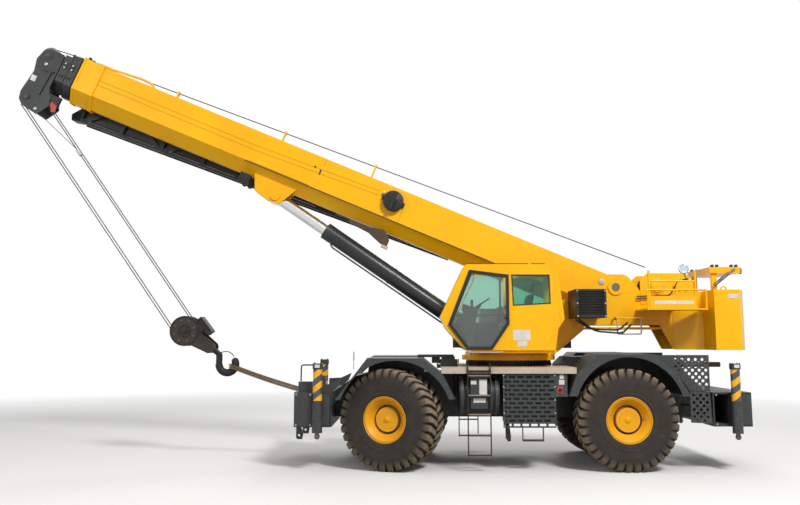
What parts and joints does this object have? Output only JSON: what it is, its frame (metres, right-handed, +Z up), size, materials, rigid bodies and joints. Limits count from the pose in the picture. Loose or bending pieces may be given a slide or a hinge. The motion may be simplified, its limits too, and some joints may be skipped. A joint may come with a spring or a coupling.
{
  "type": "rough terrain crane",
  "caption": "Four-wheel rough terrain crane with a telescopic boom, lift cylinder, slewing cab and counterweight, sliding outriggers and a hook block on four falls.",
  "frame": {"origin": "on the floor below the middle of the parked crane's overall box", "axes": "+X towards the tail, +Y towards the crane's right side, +Z up; the boom points to -X"},
  "size_m": [14.1418, 3.8594, 8.1855],
  "materials": {
    "yellow_paint": "gloss enamel",
    "grey_paint": "satin enamel",
    "black_paint": "satin enamel",
    "tyre_rubber": "moulded, dusty",
    "glass": "tinted",
    "chromed_steel": "ground and plated",
    "bare_steel": "greased",
    "engine_iron": "painted casting",
    "cab_plastic": "moulded",
    "sling_webbing": "woven webbing"
  },
  "bodies": {
    "carrier": {"chassis_frame": "black_paint", "decks": "grey_paint", "engine_block": "engine_iron", "engine_hood": "black_paint", "fenders_left": "grey_paint", "fenders_right": "grey_paint", "front_axle": "black_paint", "fuel_tank": "black_paint", "guards": "grey_paint", "ladders": "grey_paint", "outrigger_box_front": "grey_paint", "outrigger_box_rear": "grey_paint", "radiator_and_exhaust": "grey_paint", "rear_axle": "black_paint", "side_tank_and_boxes": "black_paint", "slew_ring": "black_paint", "sling": "sling_webbing"},
    "superstructure": {"turntable": "yellow_paint", "cab_shell": "yellow_paint", "cab_glass": "glass", "cab_interior": "cab_plastic", "counterweight": "yellow_paint", "winches": "yellow_paint", "machinery": "black_paint", "platform": "yellow_paint"},
    "cab_door": {"cab_door": "yellow_paint"},
    "boom_foot_pin": {"boom_foot_pin": "bare_steel"},
    "boom_base": {"boom_base": "yellow_paint", "hoist_rope": "bare_steel", "stowed_jib": "black_paint"},
    "boom_inner_mid": {"boom_inner_mid": "grey_paint"},
    "boom_outer_mid": {"boom_outer_mid": "grey_paint"},
    "boom_fly": {"boom_fly": "grey_paint", "head_sheaves": "bare_steel", "hoist_falls": "bare_steel"},
    "hook_block": {"hook_block": "black_paint"},
    "lift_foot_pin": {"lift_foot_pin": "bare_steel"},
    "lift_barrel": {"lift_barrel": "grey_paint"},
    "lift_rod": {"lift_rod": "chromed_steel"},
    "knuckle_fl": {"knuckle_fl": "black_paint"},
    "wheel_fl": {"tyre_fl": "tyre_rubber", "rim_fl": "yellow_paint"},
    "knuckle_fr": {"knuckle_fr": "black_paint"},
    "wheel_fr": {"tyre_fr": "tyre_rubber", "rim_fr": "yellow_paint"},
    "knuckle_rl": {"knuckle_rl": "black_paint"},
    "wheel_rl": {"tyre_rl": "tyre_rubber", "rim_rl": "yellow_paint"},
    "knuckle_rr": {"knuckle_rr": "black_paint"},
    "wheel_rr": {"tyre_rr": "tyre_rubber", "rim_rr": "yellow_paint"},
    "beam_front_left": {"beam_front_left": "grey_paint"},
    "jack_rod_front_left": {"jack_rod_front_left": "chromed_steel"},
    "beam_front_right": {"beam_front_right": "grey_paint"},
    "jack_rod_front_right": {"jack_rod_front_right": "chromed_steel"},
    "beam_rear_left": {"beam_rear_left": "grey_paint"},
    "jack_rod_rear_left": {"jack_rod_rear_left": "chromed_steel"},
    "beam_rear_right": {"beam_rear_right": "grey_paint"},
    "jack_rod_rear_right": {"jack_rod_rear_right": "chromed_steel"}
  },
  "joints": [
    {"name": "slew", "type": "hinge", "parent": "carrier", "child": "superstructure", "pos_m": [2.74, 0, 1.9], "axis": [0, 0, 1], "continuous": true},
    {"name": "boom_lower", "type": "hinge", "parent": "superstructure", "child": "boom_foot_pin", "pos_m": [4.776, 0, 3.283], "axis": [0, 1, 0], "range_deg": [-24.25, 0], "deforming": ["hoist_rope"]},
    {"name": "boom_raise", "type": "hinge", "parent": "boom_foot_pin", "child": "boom_base", "pos_m": [4.776, 0, 3.283], "axis": [0, 1, 0], "range_deg": [0, 53.25]},
    {"name": "telescope_inner", "type": "slide", "parent": "boom_base", "child": "boom_inner_mid", "axis": [-0.9222, 0, 0.3867], "range_m": [0, 8.8], "deforming": ["hoist_rope"]},
    {"name": "telescope_outer", "type": "slide", "parent": "boom_inner_mid", "child": "boom_outer_mid", "axis": [-0.9222, 0, 0.3867], "range_m": [0, 8.8]},
    {"name": "telescope_fly", "type": "slide", "parent": "boom_outer_mid", "child": "boom_fly", "axis": [-0.9222, 0, 0.3867], "range_m": [0, 8.8]},
    {"name": "hook_hoist", "type": "slide", "parent": "boom_fly", "child": "hook_block", "axis": [-0.58, 0, 0.8146], "range_m": [0, 3.5], "deforming": ["hoist_falls"]},
    {"name": "cylinder_lower", "type": "hinge", "parent": "superstructure", "child": "lift_foot_pin", "pos_m": [2.24, 0, 2.32], "axis": [0, 1, 0], "range_deg": [-35.78, 0]},
    {"name": "cylinder_raise", "type": "hinge", "parent": "lift_foot_pin", "child": "lift_barrel", "pos_m": [2.24, 0, 2.32], "axis": [0, 1, 0], "range_deg": [0, 56.15]},
    {"name": "cylinder_stroke", "type": "slide", "parent": "lift_barrel", "child": "lift_rod", "axis": [-0.8252, 0, 0.5648], "range_m": [0, 2.42]},
    {"name": "cab_door_slide", "type": "slide", "parent": "superstructure", "child": "cab_door", "axis": [1, 0, 0], "range_m": [0, 0.7]},
    {"name": "steer_fl", "type": "hinge", "parent": "carrier", "child": "knuckle_fl", "pos_m": [0.61, -1.035, 0.888], "axis": [0, 0, 1], "range_deg": [-2, 46]},
    {"name": "spin_fl", "type": "hinge", "parent": "knuckle_fl", "child": "wheel_fl", "pos_m": [0.5145, -1.2714, 0.888], "axis": [0.3746, 0.9272, 0], "continuous": true},
    {"name": "steer_fr", "type": "hinge", "parent": "carrier", "child": "knuckle_fr", "pos_m": [0.61, 1.035, 0.888], "axis": [0, 0, 1], "range_deg": [-2, 46]},
    {"name": "spin_fr", "type": "hinge", "parent": "knuckle_fr", "child": "wheel_fr", "pos_m": [0.7055, 1.2714, 0.888], "axis": [0.3746, 0.9272, 0], "continuous": true},
    {"name": "steer_rl", "type": "hinge", "parent": "carrier", "child": "knuckle_rl", "pos_m": [4.67, -1.035, 0.888], "axis": [0, 0, 1], "range_deg": [-24, 24]},
    {"name": "spin_rl", "type": "hinge", "parent": "knuckle_rl", "child": "wheel_rl", "pos_m": [4.67, -1.29, 0.888], "axis": [0, 1, 0], "continuous": true},
    {"name": "steer_rr", "type": "hinge", "parent": "carrier", "child": "knuckle_rr", "pos_m": [4.67, 1.035, 0.888], "axis": [0, 0, 1], "range_deg": [-24, 24]},
    {"name": "spin_rr", "type": "hinge", "parent": "knuckle_rr", "child": "wheel_rr", "pos_m": [4.67, 1.29, 0.888], "axis": [0, 1, 0], "continuous": true},
    {"name": "outrigger_front_left", "type": "slide", "parent": "carrier", "child": "beam_front_left", "axis": [0, -1, 0], "range_m": [0, 2.05]},
    {"name": "jack_front_left", "type": "slide", "parent": "beam_front_left", "child": "jack_rod_front_left", "axis": [0, 0, -1], "range_m": [0, 0.55]},
    {"name": "outrigger_front_right", "type": "slide", "parent": "carrier", "child": "beam_front_right", "axis": [0, 1, 0], "range_m": [0, 2.05]},
    {"name": "jack_front_right", "type": "slide", "parent": "beam_front_right", "child": "jack_rod_front_right", "axis": [0, 0, -1], "range_m": [0, 0.55]},
    {"name": "outrigger_rear_left", "type": "slide", "parent": "carrier", "child": "beam_rear_left", "axis": [0, -1, 0], "range_m": [0, 2.05]},
    {"name": "jack_rear_left", "type": "slide", "parent": "beam_rear_left", "child": "jack_rod_rear_left", "axis": [0, 0, -1], "range_m": [0, 0.55]},
    {"name": "outrigger_rear_right", "type": "slide", "parent": "carrier", "child": "beam_rear_right", "axis": [0, 1, 0], "range_m": [0, 2.05]},
    {"name": "jack_rear_right", "type": "slide", "parent": "beam_rear_right", "child": "jack_rod_rear_right", "axis": [0, 0, -1], "range_m": [0, 0.55]}
  ],
  "couplings": [
    {"joint": "telescope_outer", "follows": "telescope_inner", "ratio": 1},
    {"joint": "telescope_fly", "follows": "telescope_inner", "ratio": 1},
    {"joint": "hook_hoist", "follows": "boom_lower", "m_per_rad": -8.2695},
    {"joint": "cylinder_lower", "follows": "boom_lower", "ratio": 1.467},
    {"joint": "cylinder_raise", "follows": "boom_raise", "ratio": 1.0507},
    {"joint": "cylinder_stroke", "follows": "boom_raise", "m_per_rad": 2.5982},
    {"joint": "steer_fr", "follows": "steer_fl", "ratio": 1},
    {"joint": "steer_rr", "follows": "steer_rl", "ratio": 1}
  ]
}
